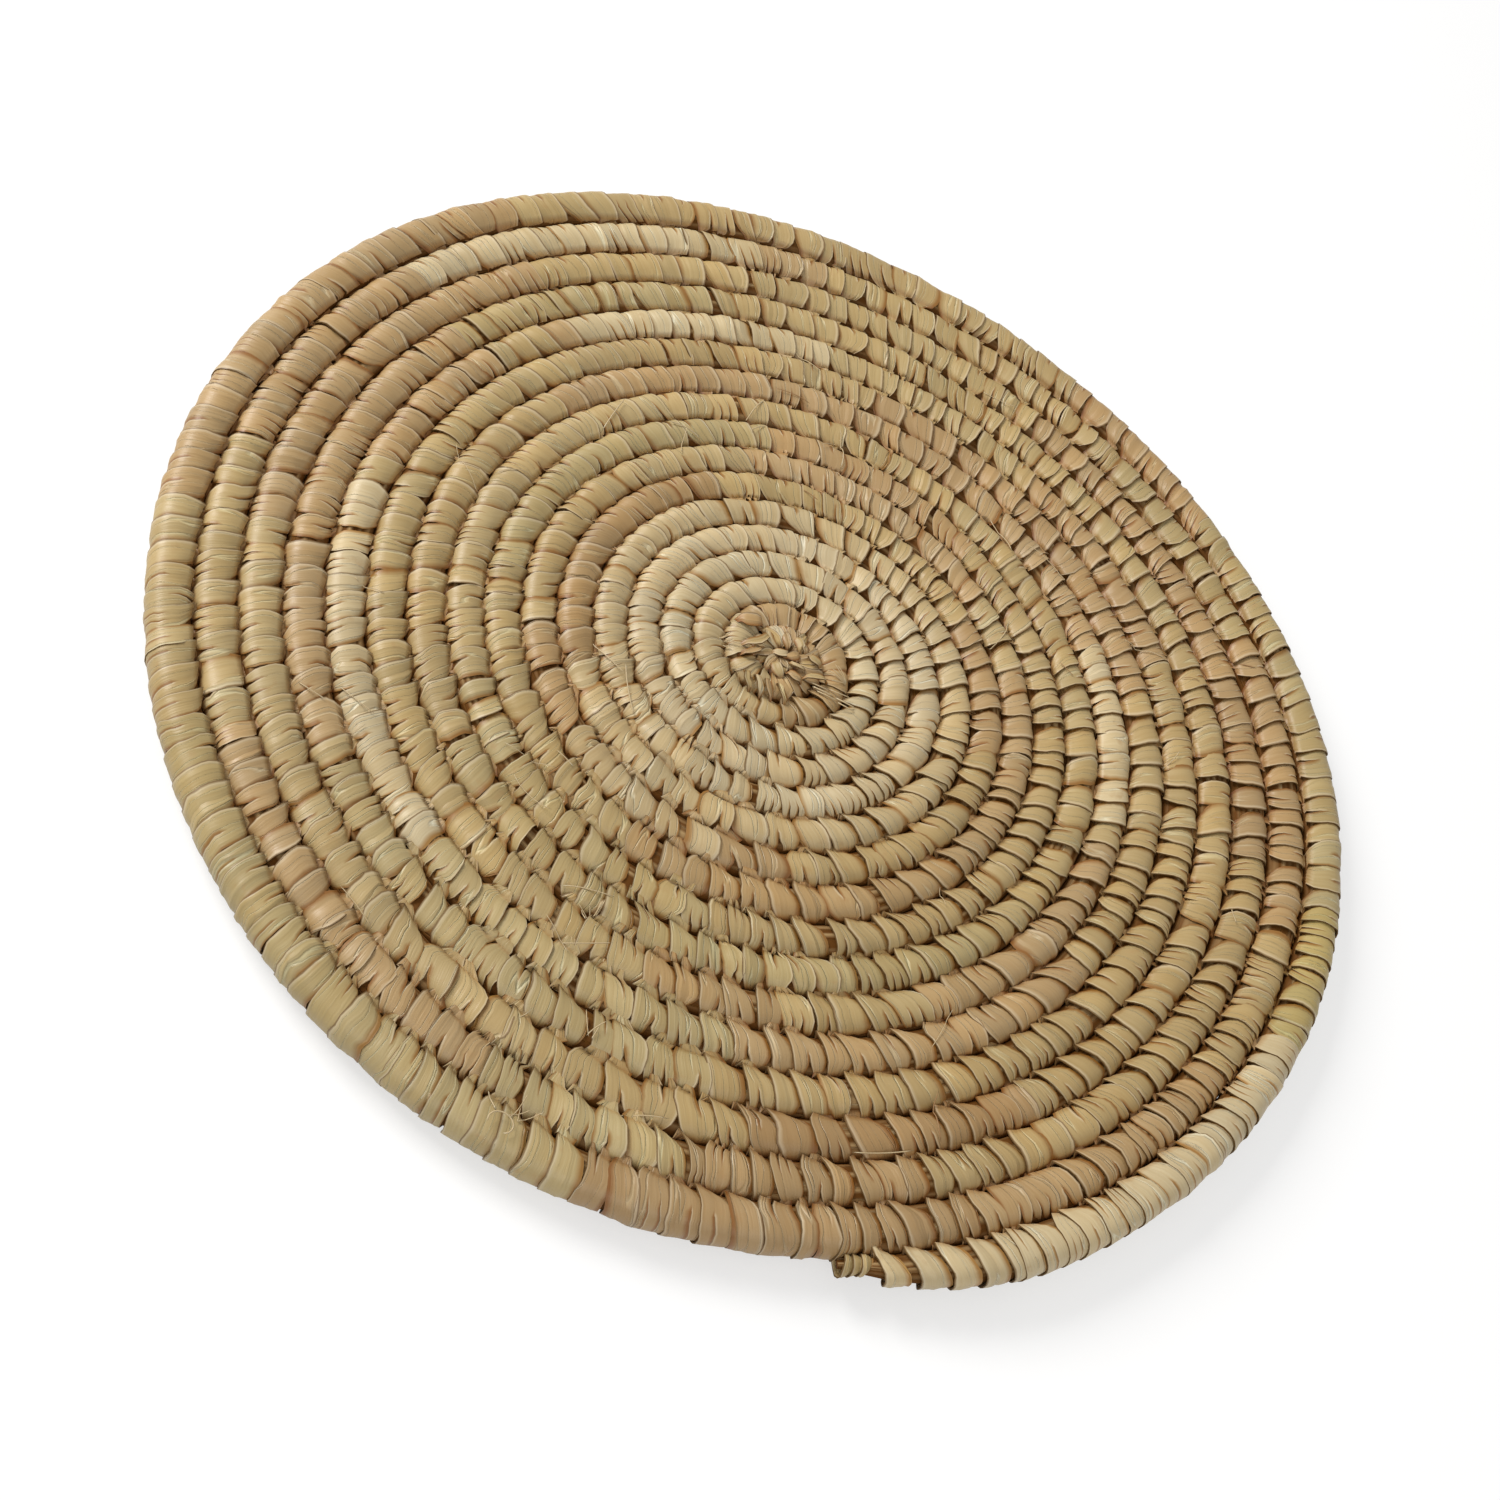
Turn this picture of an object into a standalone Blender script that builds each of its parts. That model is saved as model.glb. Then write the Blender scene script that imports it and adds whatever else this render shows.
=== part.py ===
"""A coiled palm leaf bread tray, in metres, +Z up, resting on its underside at z = 0.

One bundle of fibres winds outwards from a knot in the middle, clockwise as seen from above.
Strips of palm leaf are wound round it, end to end, and hold each round against the last.
"""

import math

import bmesh
import bpy
from mathutils import Vector

# The coil: its rounds widen a little from the middle to the rim
ROUNDS = 16.125
STATIONS_PER_ROUND = 24
EYE_RADIUS = 0.0050
ROUND_WIDTH_AT_START = 0.0096
ROUND_WIDTH_AT_END = 0.0127
ROUND_HEIGHT_AT_START = 0.0096
ROUND_HEIGHT_AT_END = 0.0120

# The leaf round the bundle, and the gaps between neighbouring pieces
LEAF_THICKNESS = 0.0010
ROUND_GAP = 0.00045
FIT_CLEARANCE = 0.0003
LEAF_STRIPS = 50

# The outer end of the coil thins down and is lashed to the round inside it
END_DIRECTION = math.radians(-57)
END_TAPER_LENGTH = 0.045
END_WIDTH_SHARE = 0.42
END_STEPS = 4

# The tray is a shallow dish, a little out of round, that rests on a ring of its underside
RESTING_RING_RADIUS = 0.126
RIM_RISE = 0.0052
MIDDLE_RISE = 0.0026
REST_CUT_DEPTH = 0.0005
OVAL_SWELL = 0.0015
OVAL_DIRECTION = math.radians(-33)
THREE_LOBED_SWELL = 0.0017
THREE_LOBED_DIRECTION = math.radians(28)

# The shoulder of the knot, as a share of the knot's radius at its top and underside
KNOT_CROWN_SHARE = 0.72

LEAF_SIDES = 8
BUNDLE_SIDES = 6
SHARP_EDGE = math.radians(50)

# Colours are linear, and every piece is dry, unpolished plant fibre
LEAF_TONES = {
    "straw": (0.52, 0.42, 0.25),
    "tan": (0.47, 0.33, 0.19),
    "pale green": (0.50, 0.46, 0.26),
    "cream": (0.60, 0.52, 0.34),
    "brown": (0.42, 0.28, 0.15),
}
BUNDLE_COLOUR = (0.30, 0.18, 0.08)
KNOT_COLOUR = (0.50, 0.38, 0.21)
LEAF_ROUGHNESS = 0.55
BUNDLE_ROUGHNESS = 0.85

station_count = round(ROUNDS * STATIONS_PER_ROUND)
rounds_made = station_count / STATIONS_PER_ROUND
width_growth = (ROUND_WIDTH_AT_END - ROUND_WIDTH_AT_START) / rounds_made
height_growth = (ROUND_HEIGHT_AT_END - ROUND_HEIGHT_AT_START) / rounds_made


def inner_edge(turns):
    """Radius of the groove inside the round that starts after this many turns."""
    return EYE_RADIUS + ROUND_WIDTH_AT_START * turns + width_growth * turns**2 / 2


def round_width(turns):
    """From this groove to the next, so that each round fills its place."""
    return inner_edge(turns + 1) - inner_edge(turns)


def round_height(turns):
    return ROUND_HEIGHT_AT_START + height_growth * turns


rim_radius = inner_edge(rounds_made + 1)


def underside_rise(radius):
    """How far the dished underside stands above its resting ring."""
    ring = RESTING_RING_RADIUS**2
    if radius < RESTING_RING_RADIUS:
        return MIDDLE_RISE * (1 - radius**2 / ring) ** 2
    return RIM_RISE * ((radius**2 - ring) / (rim_radius**2 - ring)) ** 2


def out_of_round(radius, direction):
    """The radius where the tray's uneven outline carries it, in full at the rim."""
    swell = OVAL_SWELL * math.cos(2 * (direction - OVAL_DIRECTION))
    swell += THREE_LOBED_SWELL * math.cos(3 * (direction - THREE_LOBED_DIRECTION))
    return radius + swell * (radius / rim_radius) ** 3


def direction_after(turns):
    return END_DIRECTION + math.tau * (rounds_made - turns)


def placed(radius, height, turns):
    """A point of the coil, never below the flat that the tray rests on."""
    direction = direction_after(turns)
    reach = out_of_round(radius, direction)
    return Vector((reach * math.cos(direction), reach * math.sin(direction), max(height, 0)))


def station_length(station):
    """Distance along the coil from this station to the next."""
    turns = station / STATIONS_PER_ROUND
    middle = inner_edge(turns) + round_width(turns) / 2
    return 2 * middle * math.sin(math.pi / STATIONS_PER_ROUND)


taper_start = station_count - END_TAPER_LENGTH / station_length(station_count - 1)


def taper(station):
    """Share of its full width that the coil keeps here."""
    way = max(0, station - taper_start) / (station_count - taper_start)
    return 1 - (1 - END_WIDTH_SHARE) * way**1.5


def flat_topped(sides):
    """Corners of a polygon drawn round the unit circle, with flat sides above and below."""
    reach = 1 / math.cos(math.pi / sides)
    angles = [math.tau * (corner + 0.5) / sides for corner in range(sides)]
    return [(reach * math.cos(angle), reach * math.sin(angle)) for angle in angles]


def inside_circle(sides):
    """Corners of a polygon on the unit circle."""
    angles = [math.tau * corner / sides for corner in range(sides)]
    return [(math.cos(angle), math.sin(angle)) for angle in angles]


LEAF_CORNERS = flat_topped(LEAF_SIDES)
BUNDLE_CORNERS = inside_circle(BUNDLE_SIDES)
bundle_clearance = FIT_CLEARANCE / math.cos(math.pi / BUNDLE_SIDES)


def half_sizes(turns, share, depth):
    """Half the width and height of a tapered round, at a depth under the leaf's surface."""
    half_width = (round_width(turns) * share - ROUND_GAP) / 2 - depth
    half_height = round_height(turns) * share / 2 - depth
    return half_width, half_height


def section_at_station(station, share, corners, depth):
    """One cross-section of the coil, at a whole station."""
    turns = station / STATIONS_PER_ROUND
    centre = inner_edge(turns) + round_width(turns) * share / 2
    half_width, half_height = half_sizes(turns, share, depth)
    full_height = round_height(turns)
    level = underside_rise(centre) - REST_CUT_DEPTH + full_height / 2
    return [placed(centre + x * half_width, level + z * half_height, turns) for x, z in corners]


def section(station, corners, depth):
    """A cross-section anywhere, on the flats between two whole stations."""
    share = taper(station)
    before = min(int(station), station_count - 1)
    way = station - before
    near = section_at_station(before, share, corners, depth)
    far = section_at_station(before + 1, share, corners, depth)
    return [a.lerp(b, way) for a, b in zip(near, far)]


def stations_between(first, last):
    """Whole stations, with closer ones along the tapered end."""
    whole = [s for s in range(math.ceil(first), math.floor(last) + 1) if first < s < last]
    end_steps = [station_count - 1 + step / END_STEPS for step in range(1, END_STEPS)]
    close = [s for s in end_steps if first < s < last]
    return [first, *whole, *close, last]


def add_ring(mesh, points):
    return [mesh.verts.new(point) for point in points]


def join_rings(mesh, first, second):
    for corner in range(len(first)):
        following = (corner + 1) % len(first)
        mesh.faces.new((first[corner], first[following], second[following], second[corner]))


def skin(mesh, rings):
    for first, second in zip(rings, rings[1:]):
        join_rings(mesh, first, second)


def close_between(mesh, outer, inner):
    """The ring-shaped end of a sleeve, between its outside and its bore."""
    edges = []
    for loop in (outer, inner):
        for corner, vertex in enumerate(loop):
            edges.append(mesh.edges.get((vertex, loop[(corner + 1) % len(loop)])))
    bmesh.ops.triangle_fill(mesh, edges=edges, use_beauty=True)


def make_material(name, colour, roughness):
    material = bpy.data.materials.new(name)
    material.use_nodes = True
    shader = material.node_tree.nodes["Principled BSDF"]
    shader.inputs["Base Color"].default_value = (*colour, 1)
    shader.inputs["Roughness"].default_value = roughness
    shader.inputs["Metallic"].default_value = 0
    return material


def make_piece(name, mesh, colour, roughness):
    bmesh.ops.triangulate(mesh, faces=mesh.faces)
    bmesh.ops.recalc_face_normals(mesh, faces=mesh.faces)
    data = bpy.data.meshes.new(name)
    mesh.to_mesh(data)
    mesh.free()
    data.shade_smooth()
    data.set_sharp_from_angle(angle=SHARP_EDGE)
    data.materials.append(make_material(name, colour, roughness))
    piece = bpy.data.objects.new(name, data)
    bpy.context.collection.objects.link(piece)
    return piece


def make_leaf_strip(name, first, last, tone):
    """A run of leaf round the coil: a sleeve, open at both ends for the bundle."""
    mesh = bmesh.new()
    stations = stations_between(first, last)
    outside = [add_ring(mesh, section(s, LEAF_CORNERS, 0)) for s in stations]
    bore = [add_ring(mesh, section(s, BUNDLE_CORNERS, LEAF_THICKNESS)) for s in stations]
    skin(mesh, outside)
    skin(mesh, bore)
    close_between(mesh, outside[0], bore[0])
    close_between(mesh, outside[-1], bore[-1])
    return make_piece(name, mesh, LEAF_TONES[tone], LEAF_ROUGHNESS)


def make_bundle():
    """The foundation: one unbroken tube of fibres from the middle to the outer end."""
    mesh = bmesh.new()
    depth = LEAF_THICKNESS + bundle_clearance
    stations = stations_between(0, station_count)
    rings = [add_ring(mesh, section(s, BUNDLE_CORNERS, depth)) for s in stations]
    skin(mesh, rings)
    mesh.faces.new(rings[0])
    mesh.faces.new(rings[-1])
    return make_piece("foundation_bundle", mesh, BUNDLE_COLOUR, BUNDLE_ROUGHNESS)


def knot_outline(share, height_share):
    """The eye's outline, which winds out until it meets the start of the coil."""
    points = []
    half_height = ROUND_HEIGHT_AT_START / 2
    level = underside_rise(0) - REST_CUT_DEPTH + half_height
    for station in range(STATIONS_PER_ROUND + 1):
        turns = station / STATIONS_PER_ROUND
        radius = (inner_edge(turns) - ROUND_GAP / 2) * share
        points.append(placed(radius, level + half_height * height_share, turns))
    outermost = points[-1]
    back = (points[-2] - outermost).normalized() * FIT_CLEARANCE
    points[-1] = outermost + back
    butt = (points[0] - outermost).normalized()
    points.append(points[-1] + butt * round_width(0) * share)
    return points[1:]


def make_knot():
    """The curled, tied start of the work, which fills the eye of the coil."""
    mesh = bmesh.new()
    shoulder = math.tan(math.pi / LEAF_SIDES)
    levels = [(KNOT_CROWN_SHARE, -1), (1, -shoulder), (1, shoulder), (KNOT_CROWN_SHARE, 1)]
    rings = [add_ring(mesh, knot_outline(share, height)) for share, height in levels]
    skin(mesh, rings)
    mesh.faces.new(rings[0])
    mesh.faces.new(rings[-1])
    return make_piece("centre_knot", mesh, KNOT_COLOUR, LEAF_ROUGHNESS)


def strip_ends():
    """Stations that share the coil's length evenly among the strips, in whole steps."""
    length = 0
    along = [0]
    for station in range(station_count - 1):
        length += station_length(station)
        along.append(length)
    ends = []
    for strip in range(LEAF_STRIPS + 1):
        wanted = length * strip / LEAF_STRIPS
        ends.append(min(range(station_count), key=lambda s: abs(along[s] - wanted)))
    return ends


def least_gap_to_itself(corners, depth):
    """Least distance from a round to the next one out, on points along both."""
    least = math.inf
    steps = 4
    for step in range((station_count - STATIONS_PER_ROUND) * steps):
        station = step / steps
        here = section(station, corners, depth)
        beyond = section(station + STATIONS_PER_ROUND, corners, depth)
        for a in here:
            least = min(least, min((a - b).length for b in beyond))
    return least


def make_tray():
    pieces = [make_knot(), make_bundle()]
    tones = list(LEAF_TONES)
    ends = strip_ends()
    for strip, (first, last) in enumerate(zip(ends, ends[1:])):
        start = first + FIT_CLEARANCE / 2 / station_length(first)
        stop = last - FIT_CLEARANCE / 2 / station_length(last)
        tone = tones[strip * 2 % len(tones)]
        pieces.append(make_leaf_strip(f"leaf_strip_{strip + 1:02d}", start, stop, tone))
    start = ends[-1] + FIT_CLEARANCE / 2 / station_length(ends[-1])
    pieces.append(make_leaf_strip("end_lashing", start, station_count, "straw"))
    return pieces


def stand_on_origin(pieces):
    """Carry the pieces on one empty, with the origin below the middle of their box."""
    corners = [vertex.co for piece in pieces for vertex in piece.data.vertices]
    low = Vector(min(corner[axis] for corner in corners) for axis in range(3))
    high = Vector(max(corner[axis] for corner in corners) for axis in range(3))
    tray = bpy.data.objects.new("tray", None)
    bpy.context.collection.objects.link(tray)
    tray.location = (-(low.x + high.x) / 2, -(low.y + high.y) / 2, -low.z)
    for piece in pieces:
        piece.parent = tray
    print("tray size in mm", [round((b - a) * 1000, 1) for a, b in zip(low, high)])


for leftover in list(bpy.data.objects):
    bpy.data.objects.remove(leftover)
stand_on_origin(make_tray())
bundle_depth = LEAF_THICKNESS + bundle_clearance
bundle_gap = least_gap_to_itself(BUNDLE_CORNERS, bundle_depth)
leaf_gap = least_gap_to_itself(LEAF_CORNERS, 0)
print("least gap of the bundle to itself in mm", round(bundle_gap * 1000, 3))
print("least gap of the leaf to the next round in mm", round(leaf_gap * 1000, 3))
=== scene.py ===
import math
import random

import bmesh
import bpy
from mathutils import Matrix, Vector, noise


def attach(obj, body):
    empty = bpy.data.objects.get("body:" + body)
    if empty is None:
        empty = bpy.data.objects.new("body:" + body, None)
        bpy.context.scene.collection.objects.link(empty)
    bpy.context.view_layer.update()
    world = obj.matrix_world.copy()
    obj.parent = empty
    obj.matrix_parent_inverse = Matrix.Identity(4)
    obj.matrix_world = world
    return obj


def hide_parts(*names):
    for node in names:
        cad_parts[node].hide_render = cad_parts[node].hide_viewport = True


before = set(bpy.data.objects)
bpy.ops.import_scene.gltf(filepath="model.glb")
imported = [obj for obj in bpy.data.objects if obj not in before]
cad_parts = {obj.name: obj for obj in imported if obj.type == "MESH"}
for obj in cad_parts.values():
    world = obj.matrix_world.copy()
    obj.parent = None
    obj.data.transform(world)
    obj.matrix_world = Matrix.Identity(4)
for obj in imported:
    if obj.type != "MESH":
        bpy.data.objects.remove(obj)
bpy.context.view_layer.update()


# The view: the tray is seen from above and in front, at arm's length, with the camera
# tipped over to one side, as someone holds it to look down on a table.
coil_middle = Vector((-0.003623, -0.001734, 0))
looking_down = math.radians(52.0)
tipped_over = math.radians(33.3)
from_tray = 0.5916
middle_right_of_view = 0.0057
middle_above_view = 0.0234
lens_reach_pixels = 1913.0
picture_side_pixels = 1500

camera_data = bpy.data.cameras.new("view_camera")
camera_data.sensor_fit = "HORIZONTAL"
camera_data.lens = camera_data.sensor_width * lens_reach_pixels / picture_side_pixels
camera = bpy.data.objects.new("view_camera", camera_data)
bpy.context.collection.objects.link(camera)
turned = Matrix.Rotation(math.pi / 2 - looking_down, 4, "X") @ Matrix.Rotation(tipped_over, 4, "Z")
stepped_back = Matrix.Translation((-middle_right_of_view, -middle_above_view, from_tray))
camera.matrix_world = Matrix.Translation(coil_middle) @ turned @ stepped_back
bpy.context.scene.camera = camera


# The floor: a plain white table top, wide enough to fill the view. It keeps a soft shadow
# of the tray, and lifts to plain white where no shadow falls.
floor_half = 6.0
lift_to_white = 0.54


def worked_out(tree, operation, *given):
    """What a maths node of this shader gives for these numbers and sockets."""
    node = tree.nodes.new("ShaderNodeMath")
    node.operation = operation
    for socket, value in zip(node.inputs, given):
        if isinstance(value, (int, float)):
            socket.default_value = value
        else:
            tree.links.new(value, socket)
    return node.outputs[0]


floor_mesh = bmesh.new()
bmesh.ops.create_grid(floor_mesh, x_segments=1, y_segments=1, size=floor_half)
floor_data = bpy.data.meshes.new("floor")
floor_mesh.to_mesh(floor_data)
floor_mesh.free()
floor = bpy.data.objects.new("floor", floor_data)
bpy.context.collection.objects.link(floor)
floor_paint = bpy.data.materials.new("white_table")
floor_paint.use_nodes = True
tree = floor_paint.node_tree
shader = tree.nodes["Principled BSDF"]
shader.inputs["Base Color"].default_value = (0.50, 0.50, 0.50, 1)
shader.inputs["Roughness"].default_value = 0.9
shader.inputs["Specular IOR Level"].default_value = 0.0
shader.inputs["Emission Color"].default_value = (1, 1, 1, 1)
seen = tree.nodes.new("ShaderNodeLightPath")
looked_at = seen.outputs["Is Camera Ray"]
for ray in ("Is Glossy Ray", "Is Transmission Ray"):
    looked_at = worked_out(tree, "MAXIMUM", looked_at, seen.outputs[ray])
lift = worked_out(tree, "MULTIPLY", looked_at, lift_to_white)
tree.links.new(lift, shader.inputs["Emission Strength"])
floor_data.materials.append(floor_paint)


# The light: one large soft lamp from the left and a little behind, a weaker one from the
# front, and an even pale room that looks white, so a colour renders about as it is written.
def hang_lamp(name, place, side, watts, colour):
    """A square lamp with sides this long, turned to the middle of the tray."""
    lamp_data = bpy.data.lights.new(name, "AREA")
    lamp_data.shape = "SQUARE"
    lamp_data.size = side
    lamp_data.energy = watts
    lamp_data.color = colour
    lamp = bpy.data.objects.new(name, lamp_data)
    bpy.context.collection.objects.link(lamp)
    lamp.location = place
    lamp.rotation_euler = (-Vector(place)).to_track_quat("-Z", "Y").to_euler()


hang_lamp("window_lamp", (-1.55, 0.30, 1.15), side=0.9, watts=33, colour=(1.0, 0.985, 0.96))
hang_lamp("fill_lamp", (0.5, -1.5, 1.3), side=1.4, watts=11, colour=(1.0, 0.99, 0.97))
room_light, room_as_seen = 0.42, 1.0
room = bpy.data.worlds.new("pale_room")
room.use_nodes = True
nodes, links = room.node_tree.nodes, room.node_tree.links
nodes["Background"].inputs["Color"].default_value = (1, 1, 1, 1)
seen = nodes.new("ShaderNodeLightPath")
room_level = nodes.new("ShaderNodeMapRange")
room_level.inputs["To Min"].default_value = room_light
room_level.inputs["To Max"].default_value = room_as_seen
links.new(seen.outputs["Is Camera Ray"], room_level.inputs["Value"])
links.new(room_level.outputs["Result"], nodes["Background"].inputs["Strength"])
bpy.context.scene.world = room
bpy.context.scene.view_settings.view_transform = "Standard"


# The foundation bundle: one long bundle of split palm ribs and grass, coiled from the middle
# outwards, clockwise from above, with each round a little wider than the last. It lies a leaf's
# thickness under the wrapping and shows only between the stitches. Its dry brown is darkened
# there as painted shade for the gaps.
rounds_made = 16.125
eye_radius = 0.0050
first_round_width = 0.0096
last_round_width = 0.0127
first_round_height = 0.0096
last_round_height = 0.0120
end_direction = math.radians(-57)
end_taper_length = 0.045
end_width_share = 0.56
tail_width_share = 0.32
blunt_step = 0.0062
tail_length = 0.0045
resting_ring = 0.126
rim_rise = 0.0052
middle_rise = 0.0026
pressed_flat = 0.0005
groove_gap = 0.00045
table_gap = 0.0001
table_press = 0.0007
squareness = 2.2
oval_swell, oval_direction = 0.0015, math.radians(-33)
lobed_swell, lobed_direction = 0.0017, math.radians(28)
width_growth = (last_round_width - first_round_width) / rounds_made
height_growth = (last_round_height - first_round_height) / rounds_made


def groove_inside(turns):
    return eye_radius + first_round_width * turns + width_growth * turns**2 / 2


def round_width(turns):
    return groove_inside(turns + 1) - groove_inside(turns)


def round_height(turns):
    return first_round_height + height_growth * turns


rim_radius = groove_inside(rounds_made + 1)


def underside_rise(radius):
    ring = resting_ring**2
    if radius < resting_ring:
        return middle_rise * (1 - radius**2 / ring) ** 2
    return rim_rise * ((radius**2 - ring) / (rim_radius**2 - ring)) ** 2


def coil_direction(turns):
    return end_direction + math.tau * (rounds_made - turns)


def end_taper(turns):
    """Share of its full width that the coil keeps, as it thins to its outer end and tail."""
    left = (rounds_made - turns) * math.tau * (rim_radius - last_round_width / 2)
    if left < blunt_step:
        return tail_width_share
    way = max(0, 1 - (left - blunt_step) / end_taper_length)
    return 1 - (1 - end_width_share) * way**1.5


def coil_sizes(turns):
    """Radius and level of the middle of the bundle here, and half its width and height."""
    share = end_taper(turns)
    middle = groove_inside(turns) + round_width(turns) * share / 2
    level = underside_rise(middle) - pressed_flat + round_height(turns) / 2
    half_width = (round_width(turns) * share - groove_gap) / 2
    return middle, level, half_width, round_height(turns) * share / 2


def on_coil(turns, out, up):
    """The point of the coil this far out from, and above, the middle of its bundle."""
    middle, level = coil_sizes(turns)[:2]
    radius = middle + out
    direction = coil_direction(turns)
    swell = oval_swell * math.cos(2 * (direction - oval_direction))
    swell += lobed_swell * math.cos(3 * (direction - lobed_direction))
    reach = radius + swell * (radius / rim_radius) ** 3
    height = level + up
    # Leaf that would dip under the table is pressed flat there, still one over the other.
    if height < table_gap + table_press:
        height = table_gap + table_press * math.exp((height - table_gap) / table_press - 1)
    return Vector((reach * math.cos(direction), reach * math.sin(direction), height)) + coil_middle


def round_section(angle, half_width, half_height):
    """Out and up on a round's outline: 0 is its crown and a quarter turn its outer side."""
    fullness = 2 / squareness
    out = math.copysign(abs(math.sin(angle)) ** fullness, math.sin(angle)) * half_width
    up = math.copysign(abs(math.cos(angle)) ** fullness, math.cos(angle)) * half_height
    return out, up


def new_piece(name, mesh, material, slot, *stands_for):
    """A finished piece that rides with the tray and stands for its solids."""
    for face in mesh.faces:
        face.smooth = True
    for edge in mesh.edges:
        if edge.is_boundary:
            edge.smooth = False
    data = bpy.data.meshes.new(name)
    mesh.to_mesh(data)
    mesh.free()
    data.materials.append(material)
    piece = bpy.data.objects.new(name, data)
    bpy.context.collection.objects.link(piece)
    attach(piece, "root")
    if stands_for:
        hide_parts(*stands_for)
    return piece


def fibre_marks():
    """Node group for dry plant fibre. Place is across, along and a number for the strand."""
    group = bpy.data.node_groups.new("fibre_marks", "ShaderNodeTree")
    sockets = group.interface
    sockets.new_socket("Place", in_out="INPUT", socket_type="NodeSocketVector")
    sockets.new_socket("Veins per m", in_out="INPUT", socket_type="NodeSocketFloat")
    nodes, links = group.nodes, group.links
    given = nodes.new("NodeGroupInput")
    apart_by_strand = 7.3

    def stretched_noise(finer_across, finer_along, detail):
        finer = nodes.new("ShaderNodeCombineXYZ")
        across = worked_out(group, "MULTIPLY", given.outputs["Veins per m"], finer_across)
        links.new(across, finer.inputs[0])
        finer.inputs[1].default_value = finer_along
        finer.inputs[2].default_value = apart_by_strand
        scaled = nodes.new("ShaderNodeVectorMath")
        scaled.operation = "MULTIPLY"
        links.new(given.outputs["Place"], scaled.inputs[0])
        links.new(finer.outputs[0], scaled.inputs[1])
        marks = nodes.new("ShaderNodeTexNoise")
        marks.inputs["Scale"].default_value = 1
        marks.inputs["Detail"].default_value = detail
        links.new(scaled.outputs[0], marks.inputs["Vector"])
        return marks.outputs["Fac"]

    veins = stretched_noise(0.8, 45, 2)
    folds = stretched_noise(0.14, 14, 0.3)
    blotches = stretched_noise(0.09, 160, 3)
    off_fold = worked_out(group, "ABSOLUTE", worked_out(group, "SUBTRACT", folds, 0.5))
    crease = nodes.new("ShaderNodeMapRange")
    crease.inputs["From Max"].default_value = 0.02
    links.new(off_fold, crease.inputs["Value"])
    creases = crease.outputs["Result"]
    height = worked_out(group, "MULTIPLY_ADD", veins, 0.35, creases)
    marks = {"Veins": veins, "Creases": creases, "Blotches": blotches, "Height": height}
    for mark in marks:
        sockets.new_socket(mark, in_out="OUTPUT", socket_type="NodeSocketFloat")
    given_out = nodes.new("NodeGroupOutput")
    for mark, found in marks.items():
        links.new(found, given_out.inputs[mark])
    return group


fibre_group = fibre_marks()


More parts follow.
